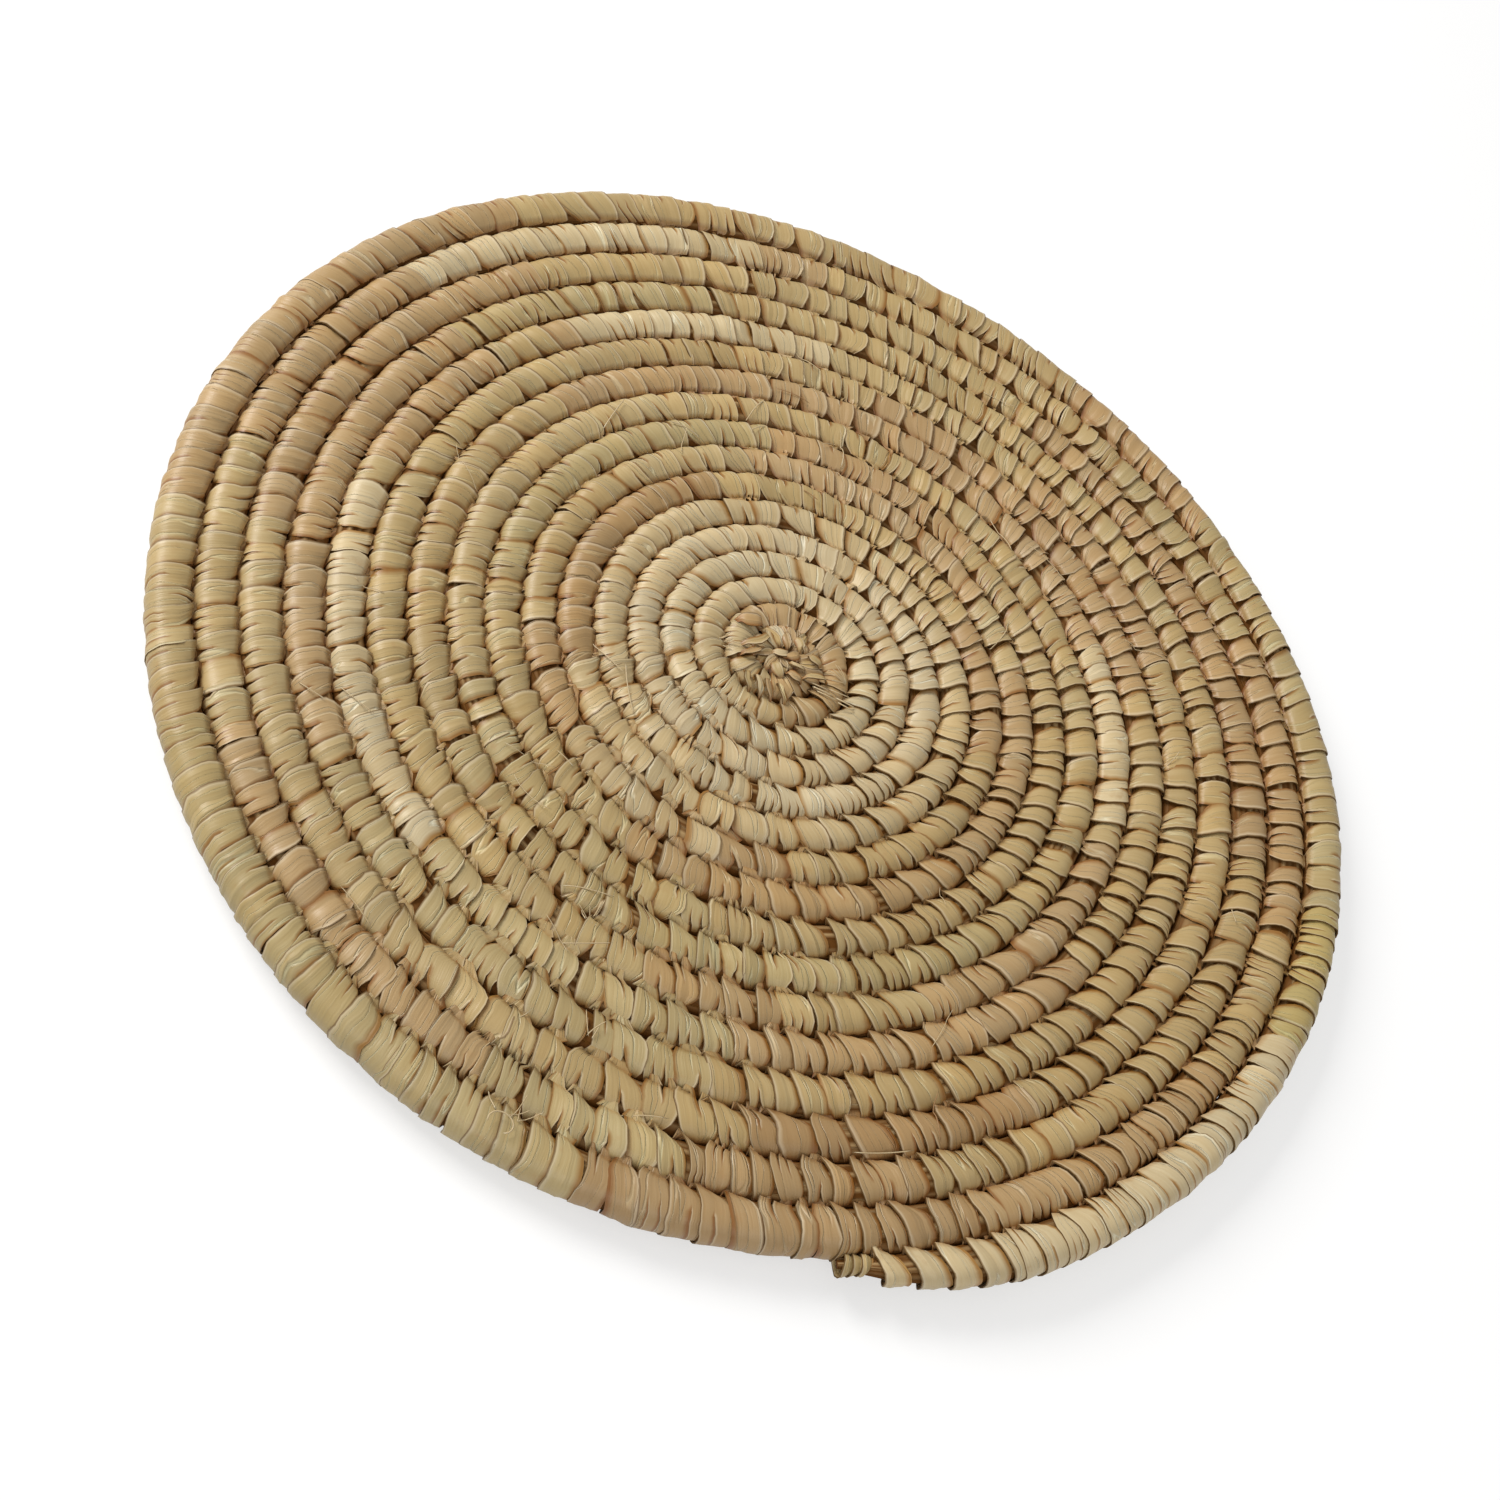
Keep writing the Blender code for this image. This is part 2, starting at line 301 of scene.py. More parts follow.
def plant_material(name, veins_per_m, roughness, relief, own_colour, keeps_own, shine=0.6):
    """Dry plant fibre: tint, veins, creases and stains, with painted shade and highlights at gaps,
    edges and ends.
    """
    material = bpy.data.materials.new(name)
    material.use_nodes = True
    nodes, links = material.node_tree.nodes, material.node_tree.links
    shader = nodes["Principled BSDF"]

    def read(attribute):
        reader = nodes.new("ShaderNodeAttribute")
        reader.attribute_name = attribute
        return reader

    def ramp(source, low, high):
        """The source spread from low to high, each its value there and what that becomes."""
        spread = nodes.new("ShaderNodeMapRange")
        spread.inputs["From Min"].default_value = low[0]
        spread.inputs["From Max"].default_value = high[0]
        spread.inputs["To Min"].default_value = low[1]
        spread.inputs["To Max"].default_value = high[1]
        links.new(source, spread.inputs["Value"])
        return spread.outputs["Result"]

    def mix(kind, amount, base, over):
        blend = nodes.new("ShaderNodeMix")
        blend.data_type = "RGBA"
        blend.blend_type = kind
        for socket, given in ((0, amount), (6, base), (7, over)):
            if isinstance(given, (int, float)):
                blend.inputs[socket].default_value = given
            elif isinstance(given, tuple):
                blend.inputs[socket].default_value = (*given, 1)
            else:
                links.new(given, blend.inputs[socket])
        return blend.outputs[2]

    marks = nodes.new("ShaderNodeGroup")
    marks.node_tree = fibre_group
    marks.inputs["Veins per m"].default_value = veins_per_m
    links.new(read("strand_place").outputs["Vector"], marks.inputs["Place"])
    edges = nodes.new("ShaderNodeSeparateXYZ")
    links.new(read("strand_edge").outputs["Vector"], edges.inputs[0])

    colour = mix("MIX", keeps_own, read("strand_tint").outputs["Color"], own_colour)
    fine_veins = ramp(marks.outputs["Veins"], (0.36, 0.30), (0.60, 0.0))
    colour = mix("MULTIPLY", fine_veins, colour, (0.80, 0.70, 0.55))
    # Darker along the creases: painted shade in the folds, which also get a bump.
    folds = ramp(marks.outputs["Creases"], (0.0, 0.0), (1.0, 0.65))
    colour = mix("MULTIPLY", folds, colour, (0.66, 0.50, 0.30))
    stains = ramp(marks.outputs["Blotches"], (0.62, 0.0), (0.78, 0.45))
    colour = mix("MIX", stains, colour, (0.42, 0.24, 0.09))
    # The raised edge turns paler: partly rubbed wear, partly a painted highlight where that edge
    # catches the light.
    worn_edge_and_highlight = ramp(edges.outputs["X"], (0.66, 0.0), (0.86, 0.42))
    colour = mix("MIX", worn_edge_and_highlight, colour, (0.74, 0.63, 0.44))
    # Painted shadow: the side of each stitch that runs under its neighbour's raised edge darkens
    # towards that edge.
    overlap_shadow = ramp(edges.outputs["X"], (-0.50, 0.0), (-0.86, 0.90))
    colour = mix("MULTIPLY", overlap_shadow, colour, (0.56, 0.31, 0.05))
    # A thin dark line right at the raised edge: partly its dried brown, partly a painted shadow
    # line along it.
    edge_brown_and_shadow_line = ramp(edges.outputs["X"], (0.87, 0.0), (0.95, 0.85))
    colour = mix("MULTIPLY", edge_brown_and_shadow_line, colour, (0.28, 0.17, 0.04))
    # Painted shade: darker brown the deeper a strip lies in the groove between rounds, and where
    # knot ends dive in.
    groove_shade = ramp(edges.outputs["Z"], (0.05, 0.0), (0.8, 1.0))
    colour = mix("MULTIPLY", groove_shade, colour, (0.70, 0.32, 0.02))
    # Browner towards where the stitch goes in: partly staining, partly painted shade where it dives
    # under the next round.
    end_stain_and_shade = ramp(edges.outputs["Y"], (0.2, 0.0), (1.0, 0.85))
    colour = mix("MULTIPLY", end_stain_and_shade, colour, (0.70, 0.41, 0.09))
    links.new(colour, shader.inputs["Base Color"])
    dull = ramp(marks.outputs["Veins"], (0.3, roughness - 0.08), (0.7, roughness + 0.1))
    links.new(dull, shader.inputs["Roughness"])
    shader.inputs["Specular IOR Level"].default_value = shine
    bump = nodes.new("ShaderNodeBump")
    bump.inputs["Strength"].default_value = 0.7
    bump.inputs["Distance"].default_value = relief
    links.new(marks.outputs["Height"], bump.inputs["Height"])
    links.new(bump.outputs["Normal"], shader.inputs["Normal"])
    return material


def mark_layers(mesh):
    """What each corner of a strand knows: its place on it, how near an edge, and its tint."""
    layers = mesh.verts.layers
    return {
        "place": layers.float_vector.new("strand_place"),
        "edge": layers.float_vector.new("strand_edge"),
        "tint": layers.float_color.new("strand_tint"),
    }


bundle_depth = 0.0011
bundle_rings_per_round = 72
bundle_sides = 40
bundle_ridge = 0.00045
ridges_around = 9
ridge_ends_per_m = 14
# The bundle's brown is darker than dry ribs: painted shade for the gaps it shows through.
bundle_shaded_tint = (0.170, 0.070, 0.007)
pale_rib_tint = (0.60, 0.46, 0.26)

bundle = bmesh.new()
layers = mark_layers(bundle)
bundle_end = rounds_made + tail_length / (math.tau * rim_radius)
bundle_rings = round(bundle_end * bundle_rings_per_round)
bmesh.ops.create_grid(bundle, x_segments=bundle_rings, y_segments=bundle_sides, size=1)
for corner in bundle.verts:
    turns = (corner.co.x + 1) / 2 * bundle_end
    angle = corner.co.y * math.pi
    middle, level, half_width, half_height = coil_sizes(turns)
    along = middle * turns * math.tau / 2
    around = (math.sin(angle) * ridges_around, math.cos(angle) * ridges_around)
    ridge = noise.noise(Vector((*around, along * ridge_ends_per_m)))
    depth = bundle_depth - bundle_ridge * ridge
    out, up = round_section(angle, half_width + groove_gap / 2, half_height - depth)
    if out > 0 and turns > rounds_made - 1:
        out *= (half_width - depth) / (half_width + groove_gap / 2)
    corner.co = on_coil(turns, out, up)
    corner[layers["place"]] = (angle * half_width, along, 0)
    pale = min(1, max(0, ridge - 0.02) * 4) * math.cos(angle) ** 2
    corner[layers["tint"]] = (*Vector(bundle_shaded_tint).lerp(Vector(pale_rib_tint), pale), 1)
bmesh.ops.remove_doubles(bundle, verts=bundle.verts, dist=0.00001)
bmesh.ops.holes_fill(bundle, edges=[edge for edge in bundle.edges if edge.is_boundary], sides=0)
bmesh.ops.recalc_face_normals(bundle, faces=bundle.faces)
# Its own near black-brown colour is painted shade for the gaps as well.
rib_fibre = plant_material(
    "dry_rib_fibre", veins_per_m=1600, roughness=0.75, relief=0.0004,
    own_colour=(0.12, 0.06, 0.022), keeps_own=0.1, shine=0.2,
)
new_piece("rib_bundle", bundle, rib_fibre, "bundle_fibre", "foundation_bundle")


# The leaf strips: each is a flat strip of palm leaf, wound round the new part of the bundle
# and through the round inside it, stitch after stitch. It starts wide and runs out narrow,
# then the next strip is laid in. Stitches stay wide over the crown and run to points in the
# grooves, where each one enters the round inside it.
leaf_thickness = 0.00042
# One leaf gives from 7 to 16 stitches, of which the first is from 7.8 to 10.4 mm wide.
stitches_per_leaf = (7, 16)
first_stitch = (0.0078, 0.0104)
# A stitch with a chance above these is split in three, or in two, and the rest stay whole.
split_in_three, split_in_two = 0.86, 0.32
whole_strip = (-0.5, 0.5)
# Now and then a little gap is left before the next stitch.
gap_chance = 0.10
gap_left = (0.0010, 0.0022)
# The grooves lie this share of a round's width from its middle, and a stitch bends aside no
# further than this to enter the round inside it.
groove_across = 0.55
furthest_aside = 0.0028
row_length = 0.0025
leaf_tones = {
    "straw": (0.614, 0.511, 0.273),
    "tan": (0.582, 0.438, 0.240),
    "green": (0.576, 0.504, 0.276),
    "pale": (0.686, 0.595, 0.374),
    "cream": (0.768, 0.706, 0.504),
    "brown": (0.509, 0.360, 0.182),
    "olive": (0.610, 0.528, 0.216),
}
# Where leaf of one tone was laid in: the rounds and the directions, in degrees, between which
# it lies. The first that fits a stitch counts.
toned_stretches = (
    ("tan", 0.0, 1.1, -60, 170),
    ("pale", 0.0, 1.8, 170, 300),
    ("cream", 1.1, 1.8, -60, 170),
    ("cream", 1.8, 4.2, -180, 180),
    ("pale", 4.2, 5.2, -180, 180),
    ("pale", 5.2, 6.3, -135, -75),
    ("brown", 5.2, 5.9, 140, 230),
    ("tan", 6.4, 7.4, -60, 40),
    ("cream", 11.0, 11.8, 195, 250),
    ("green", 11.0, 12.6, 235, 290),
    ("green", 12.3, 12.8, 130, 165),
    ("cream", 11.4, 11.9, 110, 150),
    ("cream", 14.3, 14.8, 120, 165),
    ("tan", 15.2, 16.6, 150, 205),
    ("tan", 14.6, 15.0, 5, 45),
    ("cream", 9.7, 10.1, 10, 45),
    ("green", 15.8, 16.0, 12, 60),
    ("olive", 15.9, 16.0, -5, 12),
    ("cream", 15.95, 16.2, -60, -5),
    ("green", 15.1, 15.4, -130, -80),
    ("brown", 15.0, 15.3, -80, -45),
    ("tan", 5.8, 6.4, 12, 62),
    ("tan", 6.9, 7.6, -92, -58),
    ("tan", 9.4, 10.0, 134, 160),
    ("tan", 9.4, 12.2, 42, 74),
    ("tan", 9.8, 10.6, -38, 8),
    ("tan", 10.0, 10.5, -82, -60),
    ("tan", 11.4, 12.7, 165, 192),
    ("tan", 12.0, 12.6, -90, -75),
    ("brown", 13.0, 13.4, -64, -32),
    ("tan", 13.2, 13.7, 190, 206),
    ("tan", 13.6, 14.6, 15, 52),
    ("tan", 14.0, 14.4, -72, -48),
    ("tan", 14.4, 14.9, 112, 138),
    ("tan", 14.9, 15.5, -46, -14),
)
# Round the bundle from the inner side over the crown to the outer side and back underneath:
# the angle there, the stitch's width as a share of its full width, and how near its end is.
round_the_bundle = (
    (-62, 0.84, 0.1), (-45, 0.93, 0.0), (-25, 0.99, 0.0), (-6, 1.0, 0.0), (12, 0.99, 0.0),
    (26, 0.95, 0.0), (38, 0.88, 0.0), (51, 0.79, 0.1), (65, 0.69, 0.4), (80, 0.58, 0.7),
    (100, 0.60, 0.7), (115, 0.78, 0.4), (134, 0.92, 0.1), (158, 1.0, 0.0), (184, 1.0, 0.0),
    (212, 0.99, 0.0), (238, 0.93, 0.0),
)
# Beyond the groove the stitch runs to a point on the shoulder of the round inside it, and goes
# in there: the angle on that round, share of the full width, nearness to the end, and height.
past_groove = ((53, 0.20, 1.0, -0.0012), (61, 0.42, 0.45, 0.0002), (71, 0.66, 0.10, 0.0009))
# The first round has only the eye inside it: how far in and up, share and nearness to the end.
into_the_eye = ((-1.40, 0.30, 0.10, 1.0), (-1.30, 0.52, 0.40, 0.9), (-1.10, 0.70, 0.70, 0.5))
columns = 6

chance = random.Random(11)


def tone_at(turns, otherwise):
    direction = math.degrees(coil_direction(turns)) % 360
    for tone, first, last, start, stop in toned_stretches:
        if first <= turns <= last and (direction - start) % 360 <= stop - start:
            return tone
    return otherwise


def lay_strip(mesh, layers, rows, spot, width, habit, strand):
    """A strip of leaf: each row is its share of the width, nearness to an end and parting."""
    lowest, highest = strand
    strand_middle, strand_share = (lowest + highest) / 2, highest - lowest
    step = 1 if strand_share > 0.9 else 2
    segments, last_row = columns // step, len(rows) - 1
    made = bmesh.ops.create_grid(mesh, x_segments=segments, y_segments=last_row, size=1)["verts"]
    creased = []
    number = habit["number"]
    leads = math.copysign(1, habit["tilt"])
    for corner in made:
        fold = round((corner.co.x + 1) / 2 * segments) * step
        column, height = habit["folds"][fold]
        row = round((corner.co.y + 1) / 2 * last_row)
        share, end, parting = rows[row]
        across = lowest + strand_share * (column + 1) / 2
        gather = share + (1 - share) * parting
        pinched = strand_middle * gather + (across - strand_middle) * share
        wander = noise.noise(Vector((number * 3.1, across * 2.4, row * 0.45)))
        ahead = width * pinched + wander * habit["ragged"]
        rise = height * strand_share + (habit["lift"] - habit["tilt"] * (across * 2)) * share
        corner.co, groove_shade = spot(row, ahead, rise)
        corner[layers["place"]] = (width * across + number * 0.37, row * row_length, number)
        # Two strands of one stitch show no edge between them until they part.
        joined = highest < 0.5 if column > 0 else lowest > -0.5
        shows = min(1, 0.4 + 1.5 * parting) if joined else 1
        corner[layers["edge"]] = (-leads * column * shows, end, groove_shade)
        corner[layers["tint"]] = (*habit["tint"], 1)
        if fold in habit["creased"]:
            creased.append((corner, fold))
    for corner, fold in creased:
        for edge in corner.link_edges:
            if (edge.other_vert(corner), fold) in creased:
                edge.smooth = False


def lay_stitch(mesh, layers, turns, width, slant, habit, strand, parting):
    """One strand of a stitch, bent round the bundle and pointed where it enters a round."""
    middle, level, half_width, half_height = coil_sizes(turns)
    inner_half_width, inner_half_height = coil_sizes(turns - 1)[2:]
    open_side = turns > rounds_made - 1
    split_angle = 90 * habit["split_end"]
    # The maker pulled harder at the front and the back, and the ends lie further over the round
    # inside there: broad ones at the front and thin ones at the back.
    facing = math.sin(coil_direction(turns))
    in_front, at_back = max(0, -facing) ** 8, max(0, facing) ** 6
    rows, places = [], []
    for angle, share, end in round_the_bundle:
        outside = 0 < angle < 180
        thinned = habit["outer_point"] * (1 + 0.2 * in_front) if outside else habit["inner_point"]
        if angle < 0:
            thinned *= 1 + (0.9 * at_back + 0.8 * in_front)
        share = max(0.16, 1 - (1 - share) * thinned)
        if open_side and outside:
            share, end = 1.0, 0.0
        near_split = min(1, max(0, 1.65 - abs(angle - split_angle) / 62))
        rows.append((share, end, parting * near_split))
        out, up = round_section(math.radians(angle), half_width, half_height)
        inwards = max(0, abs(angle - 90) - 126)
        pull = min(1, inwards / 50) * (angle < 0)
        places.append((0, out, up, angle, pull, 0.00004 * inwards))
    for side, tip_angle in ((1, -60), (-1, 300)):
        tip_rows, tip_places = [], []
        if turns > 1.02:
            for angle, share, end, height in past_groove:
                angle -= habit["reach"] + (0.85 * in_front + 0.7 * at_back) * (90 - angle)
                share *= 1 + 0.12 * in_front - 0.2 * at_back
                out, up = round_section(math.radians(angle), inner_half_width, inner_half_height)
                tip_rows.append((share, end, parting * (split_angle < 0) * (side > 0)))
                tip_places.append((1, out, up * side, tip_angle, side > 0, height))
        else:
            for out, up, share, end in into_the_eye:
                tip_rows.append((share, end, 0))
                tip_places.append((0, out * half_width, up * half_height * side, tip_angle, 0, 0))
        if side > 0:
            rows, places = tip_rows + rows, tip_places + places
        else:
            rows, places = rows + tip_rows[::-1], places + tip_places[::-1]

    def spot(row, ahead, rise):
        inside, out, up, angle, pull, height = places[row]
        wide, high = (inner_half_width, inner_half_height) if inside else (half_width, half_height)
        height *= 1 + 1.6 * max(-0.5, min(0.5, ahead / width)) * (height > 0)
        across_round = -groove_across if inside else max(-groove_across, out / half_width / 2)
        ahead += habit["tip_shift"] * pull - slant * across_round
        ahead += habit["corner"] * (1 - rows[row][0]) * width / 2 * (angle < 0)
        ahead += habit["bow"] * max(0, 1 - (out / half_width) ** 2) * (not inside)
        if angle > 90:
            ahead -= slant * (1 - 2 * across_round)
        ahead += habit["outer_shift"] * max(0, 1 - abs(angle - 90) / 50)
        length = math.hypot(out / wide, up / high) or 1
        # Painted groove shade: darker the lower a row lies on the flank, none where the rim lies
        # open.
        in_the_open = open_side and 20 < angle < 160
        groove_shade = 0 if in_the_open else min(1, max(0, 1 - abs(up) / high * 1.4))
        rise += height
        out += rise * out / wide / length
        up += rise * up / high / length
        return on_coil(turns - inside + ahead / (math.tau * middle), out, up), groove_shade

    lay_strip(mesh, layers, rows, spot, width, habit, strand)


def strand_habit(number, base):
    """The small ways in which one stitch differs from the next."""
    fade = chance.uniform(0.90, 1.08)
    warm = chance.uniform(-0.03, 0.03)
    crest = chance.uniform(0.0, 0.00016)
    creased = chance.choice(((2, 4), (2,), (4,), (3,), (2, 3), (1, 4)))
    depth = chance.choice((0.00020, -0.00024, 0.00014, -0.00016))
    folds = []
    for column in range(columns + 1):
        spot_across = column / columns * 2 - 1
        height = crest * (1 - spot_across**2) + depth * (column == creased[0])
        if column == creased[-1] > creased[0]:
            height -= depth
        if abs(spot_across) < 1:
            spot_across += chance.uniform(-0.10, 0.10)
            height += chance.uniform(-0.00005, 0.00005)
        folds.append((spot_across, height))
    return {
        "number": number,
        "tint": (base[0] * fade * (1 + warm), base[1] * fade, base[2] * fade * (1 - 2 * warm)),
        "folds": folds,
        "creased": creased,
        "ragged": chance.uniform(0.0002, 0.0008),
        "corner": chance.choice((0.9, 0.7, 0.4, 0.1, -0.3)),
        "bow": chance.uniform(-0.0012, 0.0004),
        "tip_shift": 0,
        "outer_shift": chance.uniform(-0.0012, 0.0008),
        "reach": chance.uniform(-9, 5),
        "inner_point": chance.uniform(0.5, 1.6),
        "outer_point": chance.uniform(0.40, 1.20),
        "split_end": chance.choice((1, 1, -1)),
        "tilt": chance.uniform(0.00034, 0.00068) * chance.choice((1, -1, -1, -1, -1)),
        "lift": chance.uniform(-0.00008, 0.00022),
    }


# The stitches are parted where the CAD's sleeves are: 50 equal lengths of the coil, each ended at
# the nearest of the 24 stations in a round.
sleeves = 50
stations = 24
station_lengths = []
for station in range(round(rounds_made * stations) - 1):
    turns = station / stations
    radius = groove_inside(turns) + round_width(turns) / 2
    station_lengths.append(2 * radius * math.sin(math.pi / stations))
coil_length = sum(station_lengths)
reached = [sum(station_lengths[:station]) for station in range(len(station_lengths) + 1)]
sleeve_ends = []
for sleeve in range(1, sleeves + 1):
    wanted = coil_length * sleeve / sleeves
    nearest = min(range(len(reached)), key=lambda station: abs(reached[station] - wanted))
    sleeve_ends.append(nearest / stations)

sleeve_tones = ("straw", "tan", "green", "cream", "brown")
leaf_materials = {}
for tone in sleeve_tones:
    leaf_materials[tone] = plant_material(
        f"palm_leaf_{tone}", veins_per_m=2400, roughness=0.46, relief=0.00045,
        own_colour=leaf_tones[tone], keeps_own=0.12,
    )
# The edge walls are painted near black-brown: partly the leaf's dried edge, partly a painted shadow
# line beside each raised edge.
dried_and_shaded_edge = bpy.data.materials.new("dried_and_shaded_leaf_edge")
dried_and_shaded_edge.use_nodes = True
shader = dried_and_shaded_edge.node_tree.nodes["Principled BSDF"]
shader.inputs["Base Color"].default_value = (0.135, 0.072, 0.016, 1)
shader.inputs["Roughness"].default_value = 0.8


def finish_leaf(name, mesh, tone, *stands_for):
    """Give the leaf its thickness, towards the bundle, with edge walls painted dark: dried brown
    and a painted shadow line.
    """
    piece = new_piece(name, mesh, leaf_materials[tone], f"leaf_{tone}", *stands_for)
    piece.data.materials.append(dried_and_shaded_edge)
    walls = piece.modifiers.new("leaf_thickness", "SOLIDIFY")
    walls.thickness = leaf_thickness
    walls.offset = -1
    walls.material_offset_rim = 1
    return piece


number = 0
turns = 0.02
leaf_left = 0
# How far along the coil the stitches part, where those of the next round can go in.
partings = []
for sleeve, last in enumerate(sleeve_ends):
    mesh = bmesh.new()
    layers = mark_layers(mesh)
    own_tone = sleeve_tones[sleeve * 2 % len(sleeve_tones)]
    while turns < last - 0.0005:
        around = math.tau * coil_sizes(turns)[0]
        if leaf_left <= 0:
            leaf_stitches = chance.randint(*stitches_per_leaf)
            leaf_left = leaf_stitches
            wide_start = chance.uniform(*first_stitch) * min(1, 0.52 + turns / 3.4)
            narrow_end = wide_start * chance.uniform(0.60, 0.90)
            usual_tones = ["straw"] * 6 + ["tan"] * 3 + ["green", "straw"]
            tone = chance.choice([*usual_tones, "straw" if own_tone == "cream" else own_tone])
        run = 1 - leaf_left / leaf_stitches
        pitch = (wide_start + (narrow_end - wide_start) * run) * chance.uniform(0.80, 1.20)
        habit = strand_habit(number, leaf_tones[tone_at(turns, tone)])
        if turns > rounds_made - 1:
            pitch *= 0.96
            habit["tilt"] *= 0.6
        width = pitch * chance.uniform(1.03, 1.18)
        slant = pitch * chance.uniform(0.15, 0.5)
        centre = turns + pitch / 2 / around
        # It enters the round inside where two stitches part there, or through a split one.
        near = centre - 1 + slant * groove_across / around
        while len(partings) > 1 and abs(partings[1] - near) < abs(partings[0] - near):
            partings.pop(0)
        if partings and turns > 1:
            wanted = (partings[0] - near) * around
            habit["tip_shift"] = max(-furthest_aside, min(furthest_aside, wanted))
        kind = chance.random()
        cut = chance.uniform(-0.18, 0.18)
        strands, parting = [whole_strip], 0
        if kind > split_in_three:
            strands, parting = [(-0.5, -0.15), (-0.15, 0.18), (0.18, 0.5)], 0.8
            habit["outer_point"] = 1.3
        elif kind > split_in_two:
            strands, parting = [(-0.5, cut), (cut, 0.5)], 1.0
            habit["outer_point"] = chance.uniform(1.0, 1.6)
            partings.append(centre + (cut * width - slant / 2 + habit["outer_shift"]) / around)
        for strand in strands:
            lay_stitch(mesh, layers, centre, width, slant, habit, strand, parting)
        number += 1
        leaf_left -= 1
        # No gap is left near the knot or on the rim.
        if chance.random() < gap_chance and 4 < turns < rounds_made - 1:
            pitch += chance.uniform(*gap_left)
        turns += pitch / around
        partings.append(turns + (habit["outer_shift"] - slant / 2) / around)
    node = f"leaf_strip_{sleeve + 1:02d}"
    finish_leaf(f"{node}_stitches", mesh, own_tone, node)


# The outer end: the coil thins over its last hand's breadth and ends in a blunt step. The last
# wide wraps hold it, gaps between them show the ribs, and three small wraps bind the thin tail.
# How far ahead of the blunt step each wrap lies, and how wide it is.
end_wraps = (
    (-0.0465, 0.0088), (-0.0376, 0.0074), (-0.0287, 0.0078), (-0.0200, 0.0086), (-0.0098, 0.0072),
)
tail_wraps = (-0.0042, -0.0016, 0.0010)
tail_wrap_width = 0.0034
tail_wrap_slant = 0.002
tail_steps = 12
mesh = bmesh.new()
layers = mark_layers(mesh)
rim_turn = math.tau * (rim_radius - last_round_width / 2)
for ahead, width in end_wraps:
    number += 1
    turns = rounds_made + ahead / rim_turn
    habit = strand_habit(number, leaf_tones["cream"])
    habit["inner_point"] = 0.5
    habit["tilt"] *= 0.2
    habit["bow"] = habit["outer_shift"] = 0
    lay_stitch(mesh, layers, turns, width, width / 2, habit, whole_strip, 0)
for ahead in tail_wraps:
    number += 1
    turns = rounds_made + ahead / rim_turn
    half_width, half_height = coil_sizes(turns)[2:]
    habit = strand_habit(number, leaf_tones["straw"])

    def tail_spot(row, along, rise):
        thicker = 1 + (0.0006 + rise) / half_height
        angle = math.tau * row / tail_steps - 2.2
        out, up = round_section(angle, half_width * thicker, half_height * thicker)
        along += tail_wrap_slant * row / tail_steps
        return on_coil(turns + along / rim_turn, out, up), 0

    tail_rows = [(1.0, 0.0, 0)] * (tail_steps + 1)
    lay_strip(mesh, layers, tail_rows, tail_spot, tail_wrap_width, habit, whole_strip)
finish_leaf("end_lashing_wraps", mesh, "straw", "end_lashing")


# The knot at the middle: a plug of bundle fibre fills the eye, and the ends of the first
# strips are folded over it, one across another, and pushed in between the first stitches.
knot_mesh = bmesh.new()
layers = mark_layers(knot_mesh)
knot_middle = coil_middle + Vector((0, 0, coil_sizes(0)[1]))
knot_half_height = first_round_height / 2


def in_eye(turns, radius, up):
    direction = coil_direction(turns)
    return knot_middle + Vector((radius * math.cos(direction), radius * math.sin(direction), up))


# The plug fills the snail-shaped eye, out to the inner edge of the first round.
plug = bmesh.ops.create_grid(knot_mesh, x_segments=24, y_segments=10, size=1)["verts"]
for corner in plug:
    turns = (corner.co.x + 1) / 2
    angle = (corner.co.y + 1) / 2 * math.pi
    half_width, half_height = groove_inside(turns) - 0.0005, knot_half_height - bundle_depth
    out, up = round_section(angle, half_width, half_height)
    corner.co = in_eye(turns, max(out, 0), up)
    corner[layers["place"]] = (angle * 0.004, turns * 0.06, 0)
    # The plug takes the bundle's tint, darkened as painted shade in the eye.
    corner[layers["tint"]] = (*bundle_shaded_tint, 1)
bmesh.ops.remove_doubles(knot_mesh, verts=plug, dist=0.00001)
open_rim = [edge for edge in knot_mesh.edges if edge.is_boundary]
bmesh.ops.holes_fill(knot_mesh, edges=open_rim, sides=0)
bmesh.ops.recalc_face_normals(knot_mesh, faces=knot_mesh.faces)

# The ends pushed in round the knot, above and below, run from near its middle out to the first
# round, narrow at both ends.
wrap_rows = (
    (0.12, 1.0, 0), (0.45, 0.5, 0), (0.75, 0.1, 0), (0.95, 0, 0),
    (1.0, 0, 0), (0.95, 0, 0), (0.7, 0.3, 0), (0.2, 1.0, 0),
)
for side in (1, -1):
    turns = 0.03
    while turns < 0.985:
        number += 1
        outer = groove_inside(turns) + 0.0010
        inner = 0.0006 + 0.0052 * max(0, turns - 0.30) / 0.7
        width = chance.uniform(0.0028, 0.0046)
        swirl = chance.uniform(0.1, 0.7)
        wrap_height = knot_half_height * chance.uniform(0.86, 1.0)
        tone = chance.choice(("straw", "tan", "tan", "cream"))
        habit = strand_habit(number, leaf_tones[tone])

        def wrap_spot(row, ahead, rise):
            way = row / (len(wrap_rows) - 1)
            radius = inner + (outer - inner) * way
            dive = max(0, abs(way * 2 - 1) - 0.65) / 0.35
            turned = turns + (ahead * side / max(radius, 0.002) + swirl * (1 - way)) / math.tau
            lifted = wrap_height * (0.94 + 0.06 * math.sin(way * math.pi)) - 0.0019 * dive**2 + rise
            # Painted shade darkens each end as it dives in.
            return in_eye(turned, radius, side * lifted), 0.5 * dive

        lay_strip(knot_mesh, layers, wrap_rows, wrap_spot, width, habit, whole_strip)
        turns += width * 0.86 / (math.tau * outer)

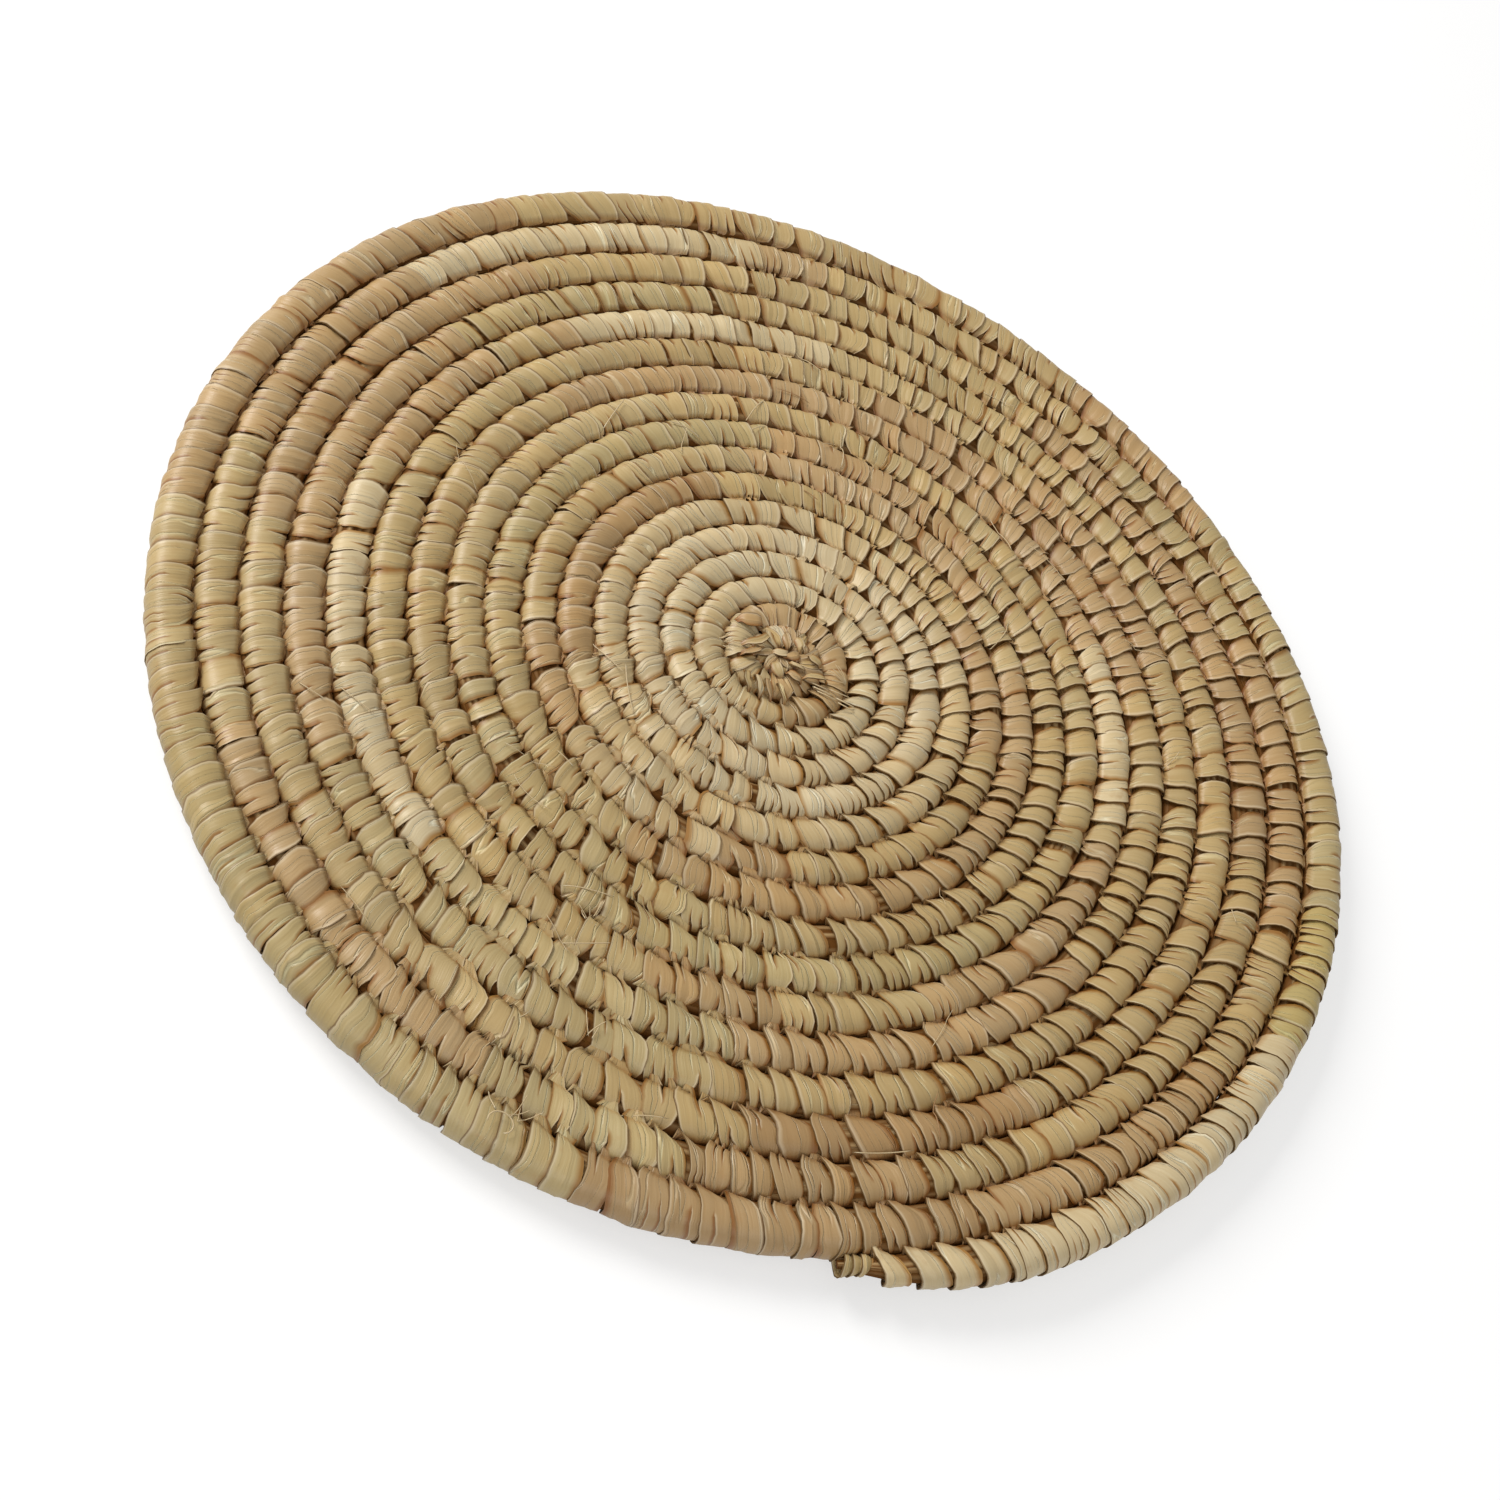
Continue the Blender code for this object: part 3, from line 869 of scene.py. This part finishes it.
# The folded ends on top, each from here to there in millimetres from the middle of the coil,
# with its width and how far its middle bows to the side. Later ones lie over earlier ones.
folded_ends = (
    (-17.7, 1.4, -9.6, 6.5, 4.3, 0.6), (-6.5, -13.0, -1.5, -20.0, 2.2, 0.3),
    (-3.4, -12.2, 2.2, -19.6, 2.4, -0.4), (0.0, -11.1, 5.6, -18.5, 2.2, 0.5),
    (3.4, -10.6, 9.7, -16.8, 2.4, -0.3), (-10.8, -9.6, -5.9, -2.3, 2.7, 0.9),
    (-12.6, -6.4, -6.0, 4.2, 2.9, 1.6), (-8.2, 6.3, -1.1, 0.2, 3.2, 1.3),
    (-3.7, 8.8, 1.6, 2.5, 2.6, 0.3), (0.3, 8.9, 4.9, 4.0, 2.8, -0.4),
    (3.4, 8.7, 6.9, 4.9, 2.6, 0.2), (6.8, 5.2, 12.6, 3.3, 3.6, 0.5),
    (-3.6, -1.6, 2.4, 2.2, 3.2, 0.7), (0.8, -1.0, 4.9, 4.2, 2.6, 0.8),
    (-1.4, -4.0, 4.5, -8.8, 3.2, 0.4), (4.0, -5.6, 10.4, -5.9, 3.4, 0.5),
    (8.9, -4.6, 16.7, 0.4, 2.7, -0.5), (2.8, -1.0, 9.4, -0.4, 2.1, 0.6),
)
fold_rows = (
    (0.16, 1.0, 0), (0.62, 0.4, 0), (0.92, 0.05, 0), (1.0, 0.0, 0),
    (0.94, 0.0, 0), (0.62, 0.3, 0), (0.14, 1.0, 0),
)


def lay_fold(start, finish, width, bow, height, side, tone):
    """One folded end, arched over what lies under it and pushed in at both ends."""
    run = (finish - start).normalized()
    aside = Vector((run.y, -run.x, 0))
    habit = strand_habit(number, leaf_tones[tone])

    def fold_spot(row, ahead, rise):
        way = row / (len(fold_rows) - 1)
        arch = math.sin(way * math.pi)
        dive = max(0, abs(way * 2 - 1) - 0.55) / 0.45
        place = knot_middle + start.lerp(finish, way) + aside * (bow * arch + ahead * side)
        lifted = height + 0.0005 * arch - 0.0026 * dive**2 + rise
        # Painted shade darkens each end as it dives in.
        return place + Vector((0, 0, side * lifted)), 0.5 * dive

    lay_strip(knot_mesh, layers, fold_rows, fold_spot, width, habit, whole_strip)


for order, (x, y, far_x, far_y, width, bow) in enumerate(folded_ends):
    number += 1
    start, finish = Vector((x, y, 0)) / 1000, Vector((far_x, far_y, 0)) / 1000
    height = knot_half_height * (0.99 + 0.006 * order)
    # Those out on the first round lie higher, over its stitches.
    if math.hypot(x + far_x, y + far_y) > 18:
        height += 0.0012
    tone = ("tan", "straw", "cream", "tan", "straw")[order % 5]
    lay_fold(start, finish, width / 1000, bow / 1000, height, 1, tone)
# A few more cross underneath.
for fold in range(7):
    number += 1
    heading = math.tau * fold * 0.381
    forward = Vector((math.cos(heading), math.sin(heading), 0))
    start = forward * -chance.uniform(0.002, 0.005) + Vector((chance.uniform(-0.002, 0.002), 0, 0))
    height = knot_half_height * (0.90 + 0.02 * fold)
    lay_fold(start, forward * chance.uniform(0.004, 0.009), 0.0032, 0.0006, height, -1, "tan")
knot = finish_leaf("folded_knot", knot_mesh, "tan", "centre_knot")


# Loose fibres: where a leaf edge splits, thin pale threads come away from it and lie over the
# stitches or stand up a little, with a few frayed tufts, one curled loop and the odd brown one.
pale_thread, brown_thread = (0.74, 0.66, 0.47), (0.42, 0.24, 0.10)
thread_steps = 8
above_leaf = 0.00075
fibre_mesh = bmesh.new()
layers = mark_layers(fibre_mesh)


def lay_fibre(points, thickness, tint):
    """A thin round thread through these points, drawn out to a point at both ends."""
    last = len(points) - 1
    made = bmesh.ops.create_grid(fibre_mesh, x_segments=last, y_segments=4, size=1)["verts"]
    for corner in made:
        at = round((corner.co.x + 1) / 2 * last)
        around = corner.co.y * math.pi
        along = (points[min(at + 1, last)] - points[max(at - 1, 0)]).normalized()
        aside = along.cross(Vector((0.2, 0.1, 1))).normalized()
        reach = aside * math.cos(around) + along.cross(aside) * math.sin(around)
        corner.co = points[at] + reach * thickness / 2 * (0 < at < last)
        corner[layers["place"]] = (around * thickness, at * 0.002, 0)
        corner[layers["tint"]] = (*tint, 1)
    bmesh.ops.remove_doubles(fibre_mesh, verts=made, dist=0.000002)


def fibre_on_coil(turns, angle, length, heading, stands, thickness, tint):
    """A thread that starts here on the coil, runs this way over it and lifts towards its tip."""
    points = []
    bend = chance.uniform(-0.6, 0.6)
    middle, level, half_width, half_height = coil_sizes(turns)
    along, out = 0, math.sin(math.radians(angle)) * half_width
    for step in range(thread_steps + 1):
        way = step / thread_steps
        over = abs((out / half_width + 1) % 2 - 1)
        up = (1 - over**squareness) ** (1 / squareness) * half_height
        up = max(up, half_height * 0.55) + above_leaf + stands * way**2
        points.append(on_coil(turns + along / (math.tau * middle), out, up))
        along += math.cos(heading + bend * way) * length / thread_steps
        out += math.sin(heading + bend * way) * length / thread_steps
    lay_fibre(points, thickness, tint)


for thread in range(46):
    turns = 3 + 11 * math.sqrt(chance.random())
    tint = brown_thread if thread % 6 == 0 else pale_thread
    fibre_on_coil(
        turns, chance.uniform(-70, 60), chance.uniform(0.006, 0.020),
        chance.uniform(-math.pi, math.pi), chance.uniform(0, 0.0012),
        chance.uniform(0.00022, 0.00042), tint,
    )
# The frayed tufts: where each lies on the coil and how many threads it has.
tufts = ((10.22, -40, 6), (15.21, -30, 5), (0.94, 40, 7), (1.4, -50, 5), (12.2, 30, 3))
for tuft_turns, angle, threads in tufts:
    for thread in range(threads):
        fibre_on_coil(
            tuft_turns + chance.uniform(-0.004, 0.004), angle, chance.uniform(0.003, 0.008),
            chance.uniform(-2.6, -0.6), chance.uniform(0.0003, 0.0020),
            chance.uniform(0.00025, 0.00045), pale_thread,
        )
# One long thread crosses a round near the front, and rib ends show beside the knot. Each lies
# from here to there in millimetres from the middle of the coil, with its thickness.
placed_threads = (
    (-6.0, -126.5, 5.8, -117.4, 0.36), (12.0, -3.7, 18.4, -2.4, 0.5),
    (13.2, -4.6, 20.4, -3.3, 0.6), (15.0, -5.2, 22.0, -4.0, 0.5),
    (18.0, -2.0, 24.9, -0.2, 0.4), (21.0, -3.4, 27.8, -2.5, 0.6),
    (22.2, -4.5, 28.2, -3.9, 0.5),
)
usual_round_width = 0.011
for x, y, far_x, far_y, thickness in placed_threads:
    thread = []
    for step in range(11):
        way = step / 10
        arch = math.sin(way * math.pi)
        across = Vector((x + (far_x - x) * way, y + (far_y - y) * way - 0.6 * arch, 0)) / 1000
        turns = (across.length - eye_radius) / usual_round_width
        top = underside_rise(across.length) - pressed_flat + round_height(turns)
        thread.append(coil_middle + across + Vector((0, 0, top + 0.0003 + 0.0008 * arch)))
    lay_fibre(thread, thickness / 1000, pale_thread)
# The curled loop stands over the frayed tuft near the rim.
curl = []
curl_turns = 15.21
curl_middle = on_coil(curl_turns, 0, coil_sizes(curl_turns)[3] + 0.0012)
for step in range(15):
    bearing = math.radians(-60 + step * 20)
    size = 0.0026 + 0.0001 * step
    across = Vector((math.cos(bearing) * size, math.sin(bearing) * size * 0.8, 0.00009 * step))
    curl.append(curl_middle + across)
lay_fibre(curl, 0.00045, pale_thread)
bmesh.ops.recalc_face_normals(fibre_mesh, faces=fibre_mesh.faces)
fibre_threads = plant_material(
    "loose_leaf_thread", veins_per_m=2400, roughness=0.55, relief=0.0001,
    own_colour=pale_thread, keeps_own=0.1,
)
new_piece("loose_fibres", fibre_mesh, fibre_threads, "leaf_cream")
